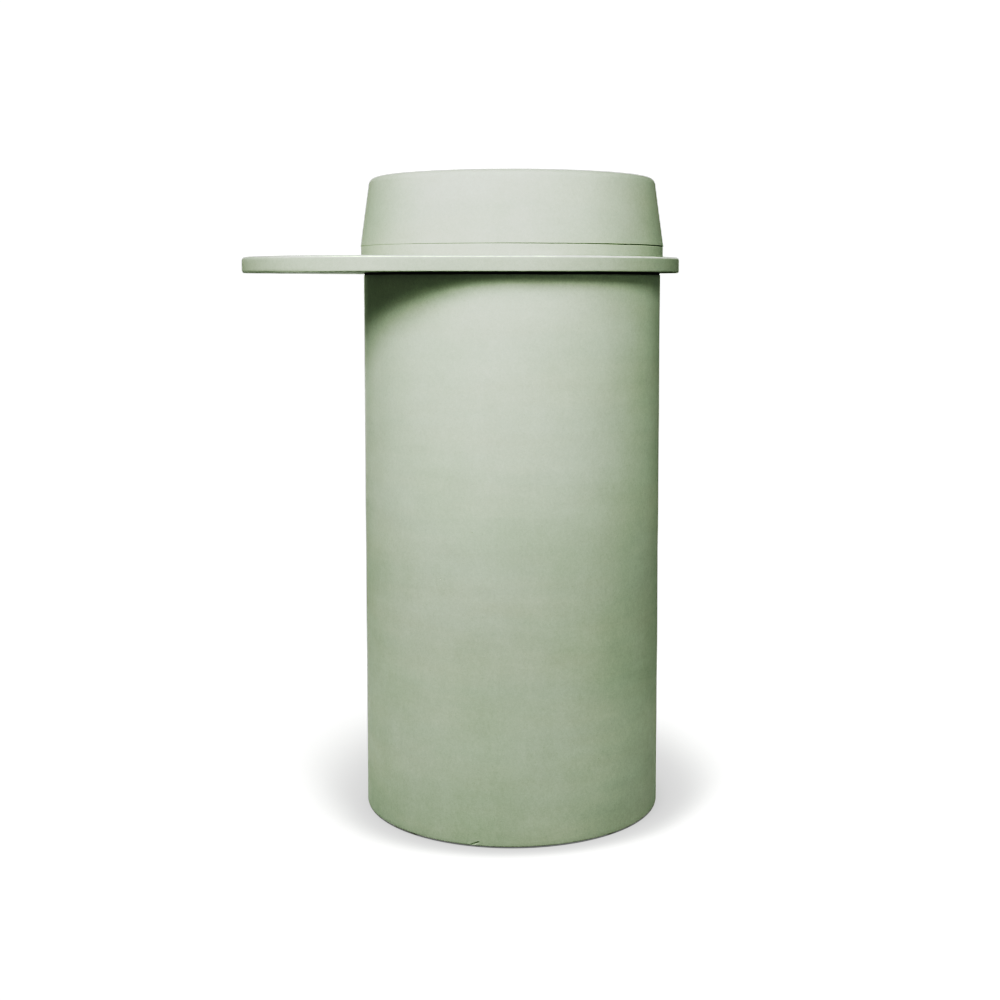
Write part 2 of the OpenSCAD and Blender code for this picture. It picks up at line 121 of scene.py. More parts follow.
# Roundings, in mm
ARRIS, TRAY_TOP_ARRIS, TRAY_LOW_ARRIS, RIM_ROUND, BOWL_LIP_ROUND = 1.2, 3.4, 2, 9.8, 6

# Thin lips and trims of the surface: a fine groove that closes to the left, a full shadow gap kept dark at its outer
# edge by a dark rubber lip that stands in for its shade, a slimmer front edge
GROOVE_LIP_R, GROOVE_GAP, GROOVE_CLOSING = mm(199.4, 0.56, 0.80)
GROOVE_CLOSED_SIDE = -172
BASIN_LIP, COLLAR_INSET = mm(1.3, 0.5)
PEDESTAL_LIP, PEDESTAL_LIP_R, SEAL_LIP_R = mm(1.8, 195.6, 199.2)
TRAY_TOP_FALL, TRAY_EDGE_RISE, TRAY_END_ROUND = mm(0.5, 0.6, 4.5)

SLOTS = {entry["node"]: entry["material_slot"] for entry in frame["record"]["subparts"]}
BODIES = {node: body for body, nodes in frame["record"]["behaviour"]["bodies"].items() for node in nodes}

# ---------------- mesh helpers


def smooth(mesh, angle=32):
    """Smooth shading, with the edges sharper than the angle kept sharp."""
    mesh.shade_smooth()
    mesh.set_sharp_from_angle(angle=math.radians(angle))


def to_mesh(bm, name):
    """Turns a bmesh into a mesh."""
    mesh = bpy.data.meshes.new(name)
    bm.to_mesh(mesh)
    bm.free()
    return mesh


def soften(corners, closed=True, segments=6):
    """An outline whose corners, given as (r, z, rounding in mm), are rounded with arcs."""
    outline = []
    count = len(corners)
    for i, (x, y, radius) in enumerate(corners):
        here = Vector((x, y))
        if radius == 0 or (not closed and i in (0, count - 1)):
            outline.append(here)
            continue
        before = Vector(corners[i - 1][:2]) - here
        after = Vector(corners[(i + 1) % count][:2]) - here
        half = before.angle(after) / 2
        reach = min(radius * MM / math.tan(half), 0.49 * before.length, 0.49 * after.length)
        real_radius = reach * math.tan(half)
        centre = here + (before.normalized() + after.normalized()).normalized() * real_radius / math.sin(half)
        start = here + before.normalized() * reach - centre
        end = here + after.normalized() * reach - centre
        turn = start.angle_signed(end)
        for k in range(segments + 1):
            outline.append(centre + Matrix.Rotation(-turn * k / segments, 2) @ start)
    return outline


def divide(outline, step, closed=True):
    """The same outline with no stretch longer than step."""
    points = []
    count = len(outline)
    for i in range(count if closed else count - 1):
        a, b = outline[i], outline[(i + 1) % count]
        cuts = max(1, math.ceil((b - a).length / step))
        points += [a.lerp(b, k / cuts) for k in range(cuts)]
    if not closed:
        points.append(outline[-1])
    return points


def bridge(bm, rings, closed=False):
    """Faces between each ring of vertices and the next; a ring may be one vertex repeated."""
    for low, high in zip(rings, rings[1:] + rings[:1] if closed else rings[1:]):
        for k in range(len(low)):
            n = (k + 1) % len(low)
            face = list(dict.fromkeys((low[k], low[n], high[n], high[k])))
            if len(face) > 2:
                bm.faces.new(face)


def lathe(outline, steps, closed=True, shape=None):
    """A bmesh of an outline of (r, z) turned round Z. shape(angle, r, z) may give another radius."""
    bm = bmesh.new()
    rings = []
    for r, z in outline:
        if r < 1e-7:
            rings.append([bm.verts.new((0, 0, z))] * steps)
            continue
        ring = []
        for k in range(steps):
            angle = 2 * math.pi * k / steps
            radius = shape(angle, r, z) if shape else r
            ring.append(bm.verts.new((radius * math.cos(angle), radius * math.sin(angle), z)))
        rings.append(ring)
    bridge(bm, rings, closed)
    return bm


def turned(corners, steps=96, shape=None, step=3 * MM, segments=6):
    """A turned part from its section's corners."""
    return lathe(divide(soften(corners, segments=segments), step), steps, shape=shape)


def add_object(name, data):
    """A new object in the scene."""
    obj = bpy.data.objects.new(name, data)
    bpy.context.scene.collection.objects.link(obj)
    return obj


def cut_out(obj, cutter_bm):
    """Cuts a closed shape out of a piece for good."""
    mesh = to_mesh(cutter_bm, "cutter")
    cutter = add_object("cutter", mesh)
    modifier = obj.modifiers.new("cut", "BOOLEAN")
    modifier.object = cutter
    modifier.solver = "EXACT"
    bpy.context.view_layer.update()
    graph = bpy.context.evaluated_depsgraph_get()
    result = bpy.data.meshes.new_from_object(obj.evaluated_get(graph))
    obj.modifiers.clear()
    old = obj.data
    obj.data = result
    bpy.data.objects.remove(cutter)
    bpy.data.meshes.remove(mesh)
    bpy.data.meshes.remove(old)
    smooth(obj.data)


def show(node, bm, angle=32, material=None, place=None):
    """Puts a piece in the scene in place of its CAD node, on the node's body and inside the CAD model's box."""
    if place:
        bm.transform(place)
    for vert in bm.verts:
        vert.co = [min(max(value, low), high) for value, low, high in zip(vert.co, *cad_box)]
    bmesh.ops.recalc_face_normals(bm, faces=bm.faces)
    obj = add_object(node + "_surface", to_mesh(bm, node + "_surface"))
    smooth(obj.data, angle)
    obj.data.materials.append(material or MATERIALS[SLOTS[node]])
    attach(obj, BODIES[node])
    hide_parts(node)
    return obj


def rod(bm, place, radius, length, steps=32):
    """Adds a cylinder along +Z from the place, for cutting holes."""
    bmesh.ops.create_cone(
        bm, cap_ends=True, segments=steps, radius1=radius, radius2=radius, depth=length,
        matrix=place @ Matrix.Translation((0, 0, length / 2)),
    )


def joined(parts):
    """One bmesh from several pairs of a bmesh and its place."""
    whole = bmesh.new()
    for bm, place in parts:
        bm.transform(place)
        mesh = to_mesh(bm, "part")
        whole.from_mesh(mesh)
        bpy.data.meshes.remove(mesh)
    return whole


# ---------------- cast concrete surface


def wave(bm, height, spread, seed, keep=None):
    """Moves the surface in and out by a slow, slight noise, as a cast surface wanders."""
    bm.normal_update()
    offset = Vector((seed * 3.7, seed * 1.3, seed * 2.1))
    moves = []
    for v in bm.verts:
        if keep and keep(v.co):
            continue
        slow = noise.noise(v.co / spread + offset)
        fine = noise.noise(v.co / (spread * 0.3) + offset * 2)
        moves.append((v, v.normal * height * (slow + 0.35 * fine)))
    for v, move in moves:
        v.co += move


def dent(bm, finder, faces, start, end, radius, depth, levels=4):
    """Sinks a small pit, or a groove from start to end, after splitting the faces round it."""
    along = end - start
    length = along.length

    def away(point):
        share = max(0.0, min(1.0, (point - start).dot(along) / (length * length))) if length else 0.0
        return (point - start - along * share).length

    near = {faces[i] for _, i, _ in finder.find_range((start + end) / 2, 3 * radius + length / 2 + 6 * MM)}
    near = {f for f in near if f.is_valid}
    for _ in range(levels):
        touched = [
            f for f in near
            if away(f.calc_center_median()) < 1.5 * radius + 0.75 * math.sqrt(f.calc_area())
        ]
        edges = {e for f in touched for e in f.edges if e.calc_length() > radius * 0.35}
        if not edges:
            break
        ring = {v for f in touched for v in f.verts}
        split = bmesh.ops.subdivide_edges(bm, edges=list(edges), cuts=1, use_grid_fill=True)
        ring |= {g for g in split["geom"] if isinstance(g, bmesh.types.BMVert)}
        near = {f for v in ring if v.is_valid for f in v.link_faces}
    moved = {v for f in near for v in f.verts if away(v.co) < radius}
    for v in moved:
        v.normal_update()
    for v, normal in [(v, v.normal.copy()) for v in moved]:
        share = away(v.co) / radius
        v.co -= normal * depth * (1 - share * share) ** 0.7


def pit(bm, marks):
    """Sinks every mark, given as (start, end, radius, depth), into the surface."""
    bm.normal_update()
    faces = list(bm.faces)
    finder = KDTree(len(faces))
    for i, f in enumerate(faces):
        finder.insert(f.calc_center_median(), i)
    finder.balance()
    for start, end, radius, depth in marks:
        dent(bm, finder, faces, start, end, radius, depth)


def outwards(degrees, radius, z, lean=90):
    """A place round the pedestal's axis whose +Z points outwards, or up if it doesn't lean."""
    turn = Matrix.Rotation(math.radians(degrees), 4, "Z")
    return turn @ Matrix.Translation((radius, 0, z)) @ Matrix.Rotation(math.radians(lean), 4, "Y")


def on_rods(z):
    """The places of the clamp rods at a height."""
    return [outwards(angle, ROD_CIRCLE_R, z, lean=0) for angle in ROD_ANGLES]


def on_brackets(radius, z, lean=90):
    """A place on each bracket."""
    return [outwards(angle, radius, z, lean) for angle in BRACKET_ANGLES]


def on_outlet(y, turn=-90):
    """A place on the trap's outlet axis, whose +Z points to the back, or with a turn of 90 to the front."""
    return Matrix.Translation((0, y, OUTLET_Z)) @ Matrix.Rotation(math.radians(turn), 4, "X")


def on_side(radius, degrees, z):
    """A point of an upright cylinder's side; 0 degrees is the front, and they grow to the right."""
    angle = math.radians(degrees)
    return Vector((radius * math.sin(angle), -radius * math.cos(angle), z))


def random_pits(seed, count, place, smallest=0.35 * MM, largest=0.9 * MM):
    """Air-hole pits at random places, few of them large."""
    rng = random.Random(seed)
    marks = []
    for _ in range(count):
        point = place(rng)
        radius = smallest + (largest - smallest) * rng.random() ** 3
        marks.append((point, point, radius, radius * (0.8 + 0.5 * rng.random())))
    return marks


# ---------------- materials


def add_node(tree, kind, inputs=None, **settings):
    """A node with its inputs, by name or number, each an output to link or a value to set."""
    node = tree.nodes.new(kind)
    for key, value in settings.items():
        setattr(node, key, value)
    for socket, value in (inputs or {}).items():
        if isinstance(value, bpy.types.NodeSocket):
            tree.links.new(value, node.inputs[socket])
        else:
            node.inputs[socket].default_value = value
    return node


class Nodes:
    """A material under construction, with short calls for its nodes."""

    def __init__(self, name):
        self.material = bpy.data.materials.new(name)
        self.material.use_nodes = True
        self.tree = self.material.node_tree
        self.shader = self.tree.nodes["Principled BSDF"]
        self.place = self.add("TexCoord").outputs["Object"]

    def add(self, kind, inputs=None, **settings):
        return add_node(self.tree, "ShaderNode" + kind, inputs, **settings)

    def link(self, output, node, socket):
        self.tree.links.new(output, node.inputs[socket])

    def surface(self, colour=None, roughness=None, normal=None, **plain):
        """Links the shader's main sockets and sets its plain ones; underscores stand for spaces."""
        for socket, output in (("Base Color", colour), ("Roughness", roughness), ("Normal", normal)):
            if output:
                self.link(output, self.shader, socket)
        for key, value in plain.items():
            self.shader.inputs[key.replace("_", " ")].default_value = value
        return self.material

    def stretched(self, scale):
        """Object coordinates scaled along each axis."""
        return self.add("Mapping", {"Vector": self.place, "Scale": scale}).outputs["Vector"]

    def noise(self, scale, detail=2.0, rough=0.5, vector=None):
        inputs = {"Vector": vector or self.place, "Scale": scale, "Detail": detail, "Roughness": rough}
        return self.add("TexNoise", inputs).outputs["Fac"]

    def cells(self, scale):
        return self.add("TexVoronoi", {"Vector": self.place, "Scale": scale})

    def fit(self, value, low, high, to_low, to_high):
        """Maps low..high to to_low..to_high, held within it."""
        inputs = {"Value": value, "From Min": low, "From Max": high, "To Min": to_low, "To Max": to_high}
        return self.add("MapRange", inputs).outputs["Result"]

    def sum(self, a, b, operation="ADD"):
        return self.add("Math", {0: a, 1: b}, operation=operation).outputs[0]

    def times(self, a, b):
        return self.sum(a, b, "MULTIPLY")

    def length(self, vector):
        return self.add("VectorMath", {0: vector}, operation="LENGTH").outputs["Value"]

    def part(self, vector, axis):
        """One component of a vector."""
        return self.add("SeparateXYZ", {0: vector}).outputs[axis]

    def blend(self, share, a, b):
        """Mixes two shaders."""
        return self.add("MixShader", {0: share, 1: a, 2: b}).outputs[0]

    def mix(self, share, a, b, blend="MIX"):
        """Mixes two colours, each an output or an (r, g, b)."""
        a, b = ((*c, 1) if isinstance(c, tuple) else c for c in (a, b))
        return self.add("Mix", {0: share, 6: a, 7: b}, data_type="RGBA", blend_type=blend).outputs[2]

    def bump(self, height, depth, strength=1.0, after=None):
        inputs = {"Height": height, "Distance": depth, "Strength": strength}
        if after:
            inputs["Normal"] = after
        return self.add("Bump", inputs).outputs["Normal"]


SAGE = (0.513, 0.555, 0.482)
SAGE_PALE = (0.547, 0.580, 0.523)
SAGE_DEEP = (0.469, 0.520, 0.436)
SAGE_WARM = (0.542, 0.565, 0.488)
SAND_LIGHT = (0.74, 0.77, 0.70)
SAND_DARK = (0.20, 0.25, 0.16)
# The colour of the painted highlight along the tray's top arris
PAINTED_HIGHLIGHT = (0.77, 0.80, 0.74)
DULL_BAND = 0.94

# Grain of the concrete from coarse to fine: scale, detail, roughness, and the share by which it lightens and darkens
GRAIN = ((28, 3, 0.55, 0.022), (110, 3, 0.6, 0.018), (290, 2, 0.6, 0.040), (700, 3, 0.7, 0.060))
STREAK_SWING = 0.028


def concrete(name, tone=1.0, highlight_level=None, dull_level=None):
    """Pigmented cast concrete: clouds, faint level streaks and sandy grain. Given a highlight level, it paints a pale
    highlight along the upper arris there; a slightly darker band runs round dull_level."""
    m = Nodes(name)
    cloud = m.noise(6.5, 5, 0.55)
    bands = m.noise(3.0, 3, 0.6, m.stretched((1.2, 1.2, 7.0)))
    colour = m.mix(m.fit(cloud, 0.36, 0.66, 0, 1), SAGE_DEEP, SAGE_PALE)
    colour = m.mix(0.62, colour, SAGE)
    colour = m.mix(m.fit(bands, 0.42, 0.68, 0, 0.40), colour, SAGE_WARM)
    shade = tone
    streak = m.noise(5, 4, 0.6, m.stretched((1.6, 1.6, 9.0)))
    grains = [(streak, STREAK_SWING)] + [(m.noise(*settings), swing) for *settings, swing in GRAIN]
    for value, swing in grains:
        shade = m.times(shade, m.fit(value, 0.2, 0.8, 1 - swing, 1 + swing))
    if dull_level:
        away = m.sum(m.sum(m.part(m.place, "Z"), dull_level, "SUBTRACT"), 0, "ABSOLUTE")
        shade = m.times(shade, m.fit(away, 0.04, 0.17, DULL_BAND, 1))
    colour = m.mix(1.0, colour, shade, "MULTIPLY")
    light = m.fit(m.cells(620).outputs["Distance"], 0.10, 0.22, 0.16, 0)
    dark = m.fit(m.noise(430, 1, 0.4), 0.70, 0.78, 0, 0.12)
    colour = m.mix(light, colour, SAND_LIGHT)
    colour = m.mix(dark, colour, SAND_DARK)
    # Painted highlight: a pale line along the top arris, where light from above catches the rounded edge, fading out
    # towards the left end
    if highlight_level:
        slope = m.part(m.add("NewGeometry").outputs["Normal"], "Z")
        near_top = m.fit(m.part(m.place, "Z"), highlight_level - 2.6 * MM, highlight_level - 1.8 * MM, 0, 1)
        on_edge = m.times(m.fit(slope, 0.05, 0.25, 0, 1), m.fit(slope, 0.75, 0.95, 1, 0))
        painted_highlight = m.times(m.times(near_top, on_edge), m.fit(m.noise(60, 3, 0.6), 0.3, 0.6, 0.6, 1))
        painted_highlight = m.times(painted_highlight, m.fit(m.part(m.place, "X"), -0.31, -0.19, 0.15, 1))
        colour = m.mix(painted_highlight, colour, PAINTED_HIGHLIGHT)
    roughness = m.fit(m.noise(40, 4, 0.6), 0.3, 0.7, 0.62, 0.80)
    pores = m.fit(m.noise(520, 3, 0.65), 0.35, 0.65, 0, 1)
    soft = m.bump(m.noise(55, 3, 0.5), 0.4 * MM, 0.35)
    return m.surface(colour, roughness, m.bump(pores, 0.10 * MM, 0.5, soft), Specular_IOR_Level=0.35)


def rubber(name, deep, dusty):
    """Matt rubber with moulding dust in its pores."""
    m = Nodes(name)
    dust = m.fit(m.noise(90, 4, 0.6), 0.45, 0.75, 0, 0.5)
    roughness = m.fit(m.noise(300, 2, 0.5), 0.3, 0.7, 0.65, 0.85)
    return m.surface(m.mix(dust, deep, dusty), roughness, m.bump(m.noise(900, 2, 0.5), 0.05 * MM))


def zinc():
    """Zinc plated steel: a bright grey with faint spangle and rolling lines."""
    m = Nodes("zinc_plate")
    spangle = m.add("RGBToBW", {"Color": m.cells(170).outputs["Color"]}).outputs[0]
    colour = m.mix(m.fit(spangle, 0, 1, 0, 0.5), (0.56, 0.58, 0.61), (0.72, 0.72, 0.70))
    stain = m.fit(m.noise(35, 4, 0.6), 0.55, 0.75, 0, 0.5)
    colour = m.mix(stain, colour, (0.52, 0.50, 0.44))
    roughness = m.fit(m.noise(60, 3, 0.6), 0.3, 0.7, 0.28, 0.50)
    lines = m.noise(220, 2, 0.5, m.stretched((1, 1, 0.08)))
    return m.surface(colour, roughness, m.bump(lines, 0.02 * MM), Metallic=1.0)


def chrome():
    """Polished chrome with faint water marks."""
    m = Nodes("chrome_plate")
    marks = m.fit(m.noise(70, 5, 0.6), 0.5, 0.75, 0, 1)
    colour = m.mix(marks, (0.78, 0.79, 0.81), (0.68, 0.69, 0.70))
    haze = m.fit(m.noise(500, 2, 0.5), 0.3, 0.7, 0, 0.03)
    roughness = m.sum(m.fit(marks, 0, 1, 0.06, 0.22), haze)
    return m.surface(colour, roughness, m.bump(m.noise(130, 2, 0.5), 0.008 * MM), Metallic=1.0)


def brass():
    """Turned brass, dulled in patches, with fine turning lines."""
    m = Nodes("turned_brass")
    patina = m.fit(m.noise(50, 5, 0.65), 0.42, 0.72, 0, 1)
    colour = m.mix(patina, (0.70, 0.52, 0.24), (0.42, 0.30, 0.14))
    lines = m.noise(900, 1, 0.5, m.stretched((0.05, 0.05, 1)))
    return m.surface(colour, m.fit(patina, 0, 1, 0.25, 0.5), m.bump(lines, 0.015 * MM), Metallic=1.0)


MATERIALS = {
    "concrete": concrete("sage_concrete"),
    "dark_rubber": rubber("black_rubber", (0.012, 0.012, 0.012), (0.045, 0.043, 0.040)),
    "zinc_steel": zinc(),
    "chrome": chrome(),
    "brass": brass(),
}

# ---------------- concrete pieces

TRAY_TONE = 0.87
BASIN_TONE = 0.96
PEDESTAL_DULL_LEVEL = 290 * MM
SIDE_STEPS = 252
TRAY_STEPS = 288
TRAY_FLATS = 22
CELL = 6 * MM

# The pedestal's larger air holes: degrees from the front, height and radius in mm
AIR_HOLES = [(-24.9, 427, 0.7), (-26.7, 340, 0.8), (-53, 81, 0.9), (33.4, 105, 0.8), (-51, 84, 0.5)]

# The nick at the pedestal's foot: degrees from the front and height in mm, at each end
NICK = ((-14.9, 2.8), (-12.2, 6.6))


def window_cutter():
    """The plumbing opening, its arris rounded where it meets the pedestal's outer face."""
    half = WINDOW_HALF_WIDTH
    middle = (WINDOW_SILL + WINDOW_HEAD) / 2
    straight = (WINDOW_HEAD - WINDOW_SILL) / 2 - WINDOW_ROUND

    def outline(grow):
        r = WINDOW_ROUND + grow
        arcs = []
        for cx, cz, start in ((1, 1, 0), (-1, 1, 90), (-1, -1, 180), (1, -1, 270)):
            turns = [math.radians(start + 7.5 * k) for k in range(13)]
            arcs.append([
                Vector((cx * (half - WINDOW_ROUND) + r * math.cos(a), middle + cz * straight + r * math.sin(a)))
                for a in turns
            ])
        points = []
        for k, arc in enumerate(arcs):
            cuts = (20, 64)[k % 2]
            following = arcs[(k + 1) % 4][0]
            points += arc + [arc[-1].lerp(following, n / cuts) for n in range(1, cuts)]
        return points

    steps = 6
    sinks = [(WINDOW_ARRIS * 1.02, -30 * MM)]
    for k in range(steps + 1):
        turn = math.pi / 2 * k / steps
        sinks.append((WINDOW_ARRIS * (1 - math.sin(turn)), WINDOW_ARRIS * (1 - math.cos(turn))))
    sinks.append((0, 70 * MM))
    bm = bmesh.new()
    rings = []
    for grow, sink in sinks:
        rings.append([
            bm.verts.new((x, math.sqrt(PEDESTAL_R ** 2 - x * x) - sink, z)) for x, z in outline(grow)
        ])
    bridge(bm, rings)
    bm.faces.new(rings[0][::-1])
    bm.faces.new(rings[-1])
    return bm


def make_pedestal():
    a = ARRIS
    corners = [
        (PEDESTAL_INNER_R, PEDESTAL_BASE, a), (PEDESTAL_R, PEDESTAL_BASE, a),
        (PEDESTAL_R, PEDESTAL_TOP + PEDESTAL_LIP, a), (PEDESTAL_LIP_R, PEDESTAL_TOP + PEDESTAL_LIP, 0.4),
        (PEDESTAL_LIP_R, PEDESTAL_TOP, 0), (PEDESTAL_INNER_R, PEDESTAL_TOP, a),
    ]
    bm = turned(corners, SIDE_STEPS, step=CELL, segments=5)
    wave(bm, 0.28 * MM, 95 * MM, 1)
    piece = show("pedestal", bm, 32, concrete("sage_concrete_pedestal", dull_level=PEDESTAL_DULL_LEVEL))
    cutter = window_cutter()
    hole_r = PEDESTAL_INNER_R - 3 * MM
    for low, high in zip(on_brackets(hole_r, SCREW_RISE), on_brackets(hole_r, tray_low.z - SCREW_RISE)):
        for hole_place in (low, high):
            rod(cutter, hole_place, INSERT_R + 0.1 * MM, 23 * MM)
    cut_out(piece, cutter)
    bm = bmesh.new()
    bm.from_mesh(piece.data)
    marks = [
        (p, p, r * MM, r * MM)
        for degrees, z, r in AIR_HOLES
        for p in [on_side(PEDESTAL_R, degrees, z * MM)]
    ]
    marks.append((*(on_side(PEDESTAL_R, degrees, z * MM) for degrees, z in NICK), 1.1 * MM, 1.3 * MM))
    marks += random_pits(11, 12, lambda g: on_side(PEDESTAL_R, g.uniform(-150, 150), g.uniform(0.02, 0.70)))
    pit(bm, marks)
    bm.to_mesh(piece.data)
    bm.free()
    smooth(piece.data, 40)


def stadium(radius, count):
    """Points of the tray's plan at a radius about its two centres, at even steps round the plan."""
    straight = TRAY_REACH
    arc = math.pi * TRAY_R
    total = 2 * (arc + straight)
    points = []
    for k in range(count):
        s = total * k / count
        if s < arc:
            angle = -math.pi / 2 + s / TRAY_R
            points.append((radius * math.cos(angle), radius * math.sin(angle)))
        elif s < arc + straight:
            points.append((-(s - arc), radius))
        elif s < 2 * arc + straight:
            angle = math.pi / 2 + (s - arc - straight) / TRAY_R
            points.append((-straight + radius * math.cos(angle), radius * math.sin(angle)))
        else:
            points.append((-straight + (s - 2 * arc - straight), -radius))
    return [Vector(p) for p in points]


def trim_tray(bm, low, high):
    """Gives the tray its full height towards the left end and the back, and rounds the left end more."""
    middle = (low + high) / 2
    end = Vector((-TRAY_REACH, 0))
    for vert in bm.verts:
        far = min(max((-vert.co.x - PEDESTAL_R) / (TRAY_REACH + TRAY_R - PEDESTAL_R), 0), 1)
        back = min(max(0.5 + vert.co.y / TRAY_R, 0), 1)
        share = (vert.co.z - middle) / (high - middle)
        if share > 0:
            vert.co.z += far * share * TRAY_TOP_FALL
        elif vert.co.z > low + TRAY_EDGE_RISE / 2:
            vert.co.z += max(far, back) * share * TRAY_EDGE_RISE
        depth = max(TRAY_END_ROUND - (high - middle) * (1 - abs(share)), 0)
        inset = min(1, 1.5 * far) * (TRAY_END_ROUND - math.sqrt(TRAY_END_ROUND ** 2 - depth ** 2))
        out = vert.co.xy - end
        if far > 0 and out.length > TRAY_R - inset:
            vert.co.xy = end + out.normalized() * (TRAY_R - inset)


def make_tray():
    low, high = tray_low.z, tray_high.z - TRAY_TOP_FALL
    edge_low = low + TRAY_EDGE_RISE
    flat_r = TRAY_R - TRAY_EDGE_BAND
    corners = [
        (flat_r, edge_low, 0), (TRAY_R, edge_low, TRAY_LOW_ARRIS), (TRAY_R, high, TRAY_TOP_ARRIS), (flat_r, high, 0),
    ]
    profile = divide(soften(corners, closed=False), 1.5 * MM, closed=False)
    hole = [
        Vector((TRAY_OPENING_R * math.cos(t), TRAY_OPENING_R * math.sin(t)))
        for t in (math.atan2(p.y, p.x) for p in stadium(TRAY_R, TRAY_STEPS))
    ]
    bm = bmesh.new()

    def ring(points, z):
        return [
            bm.verts.new((p.x, p.y, edge_low if z == low and p.length > PEDESTAL_LIP_R else z)) for p in points
        ]

    loops = [ring(stadium(r, TRAY_STEPS), z) for r, z in profile]
    inside = stadium(flat_r, TRAY_STEPS)
    for z, order in ((high, range(1, TRAY_FLATS + 1)), (low, range(TRAY_FLATS, 0, -1))):
        for k in order:
            loops.append(ring([p.lerp(q, k / TRAY_FLATS) for p, q in zip(inside, hole)], z))
    bridge(bm, loops, closed=True)
    trim_tray(bm, low, high)
    hidden = PEDESTAL_R - 8 * MM
    wave(bm, 0.22 * MM, 110 * MM, 2, keep=lambda co: co.x ** 2 + co.y ** 2 < hidden ** 2)

    def place(g):
        if g.random() < 0.35:
            height = (edge_low + TRAY_LOW_ARRIS * MM, high - TRAY_TOP_ARRIS * MM)
            return on_side(TRAY_R, g.uniform(-90, 180), g.uniform(*height))
        return Vector((g.uniform(-0.34, -0.19), g.uniform(-0.17, 0.17), g.choice((low, high))))

    pit(bm, random_pits(23, 14, place, largest=0.7 * MM))
    # The tray's top level takes the painted highlight along its upper arris
    piece = show("tray", bm, 40, concrete("sage_concrete_tray", TRAY_TONE, high))
    cutter = bmesh.new()
    for hole_place in on_rods(low - 5 * MM):
        rod(cutter, hole_place, ROD_HOLE_R, high - low + 10 * MM)
    for hole_place in on_brackets(BOLT_CIRCLE_R, low - 5 * MM, lean=0):
        rod(cutter, hole_place, INSERT_R + 0.1 * MM, 19 * MM)
    cut_out(piece, cutter)


def make_collar():
    a, side_r = ARRIS, COLLAR_R - COLLAR_INSET
    foot = collar_low.z - TRAY_TOP_FALL
    lip = BASIN_BASE - BASIN_LIP - GROOVE_GAP
    corners = [
        (COLLAR_INNER_R, foot, a), (side_r, foot, 0.3), (side_r, lip, 0.4),
        (GROOVE_LIP_R, lip, 0), (GROOVE_LIP_R, collar_high.z, 0), (COLLAR_INNER_R, collar_high.z, a),
    ]
    bm = turned(corners, SIDE_STEPS, segments=4)
    for vert in bm.verts:
        if lip - 0.5 * MM < vert.co.z < lip + 0.1 * MM and vert.co.xy.length > GROOVE_LIP_R - 0.1 * MM:
            turn = math.atan2(vert.co.y, vert.co.x) - math.radians(GROOVE_CLOSED_SIDE)
            vert.co.z += GROOVE_CLOSING * max(0, math.cos(turn)) ** 2
    wave(bm, 0.12 * MM, 60 * MM, 3)
    band = (collar_low.z + 3 * MM, collar_high.z - 3 * MM)
    pit(bm, random_pits(31, 5, lambda g: on_side(side_r, g.uniform(-180, 180), g.uniform(*band)), largest=0.7 * MM))
    show("collar_ring", bm, 40)


def make_basin():
    base, top = BASIN_BASE, RIM_TOP
    throat = base + THROAT_RISE
    corners = [
        (WASTE_HOLE_R, HUB_END, 1), (HUB_R, HUB_END, 2), (HUB_R, base, 4),
        (CORE_INNER_R, base, 2), (CORE_INNER_R, base + CORE_H, 4),
        (CORE_OUTER_R, base + CORE_H, 4), (CORE_OUTER_R, base, 2), (GROOVE_LIP_R, base, 0),
        (GROOVE_LIP_R, base - BASIN_LIP, 0), (COLLAR_R, base - BASIN_LIP, 0.4),
        (RIM_R, top, RIM_ROUND), (BOWL_R, top, BOWL_LIP_ROUND),
        (BOWL_R - 1.5 * MM, top - 20 * MM, 24), (THROAT_R + 6 * MM, throat + 1.8 * MM, 30),
        (RECESS_R, throat, 1), (RECESS_R, throat - RECESS_DEPTH, 0.6),
        (WASTE_HOLE_R, throat - RECESS_DEPTH, 0.8),
    ]
    bm = turned(corners, SIDE_STEPS, step=CELL, segments=8)
    wave(bm, 0.20 * MM, 80 * MM, 4, keep=lambda co: co.x ** 2 + co.y ** 2 < (THROAT_R + 3 * MM) ** 2)
    lean = (COLLAR_R - RIM_R) / (top - base)

    def place(g):
        z = g.uniform(base + 4 * MM, top - RIM_ROUND * MM)
        return on_side(COLLAR_R - lean * (z - base), g.uniform(-180, 180), z)

    pit(bm, random_pits(47, 12, place, largest=0.7 * MM))
    show("basin", bm, 40, concrete("sage_concrete_basin", BASIN_TONE))


make_pedestal()
make_tray()
make_collar()
make_basin()

# ---------------- metal and rubber pieces


def solid(corners, steps, step=2 * MM):
    """A turned part that reaches the Z axis, from its outline's corners."""
    return lathe(divide(soften(corners, closed=False), step, closed=False), steps, closed=False)


def span(node):
    """Lowest and highest z of a CAD node."""
    low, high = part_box(node)
    return low.z, high.z


def thread(root, crest, pitch, low, high):
    """A shape function that cuts a helical thread between two heights."""

    def shape(angle, r, z):
        if not low < z < high or r < root - 0.01 * MM:
            return r
        phase = (z / pitch - angle / (2 * math.pi)) % 1
        run_out = min(1, (z - low) / pitch, (high - z) / pitch)
        return r - (crest - root) * run_out * min(1, max(0, abs(2 * phase - 1) * 1.4 - 0.2))

    return shape


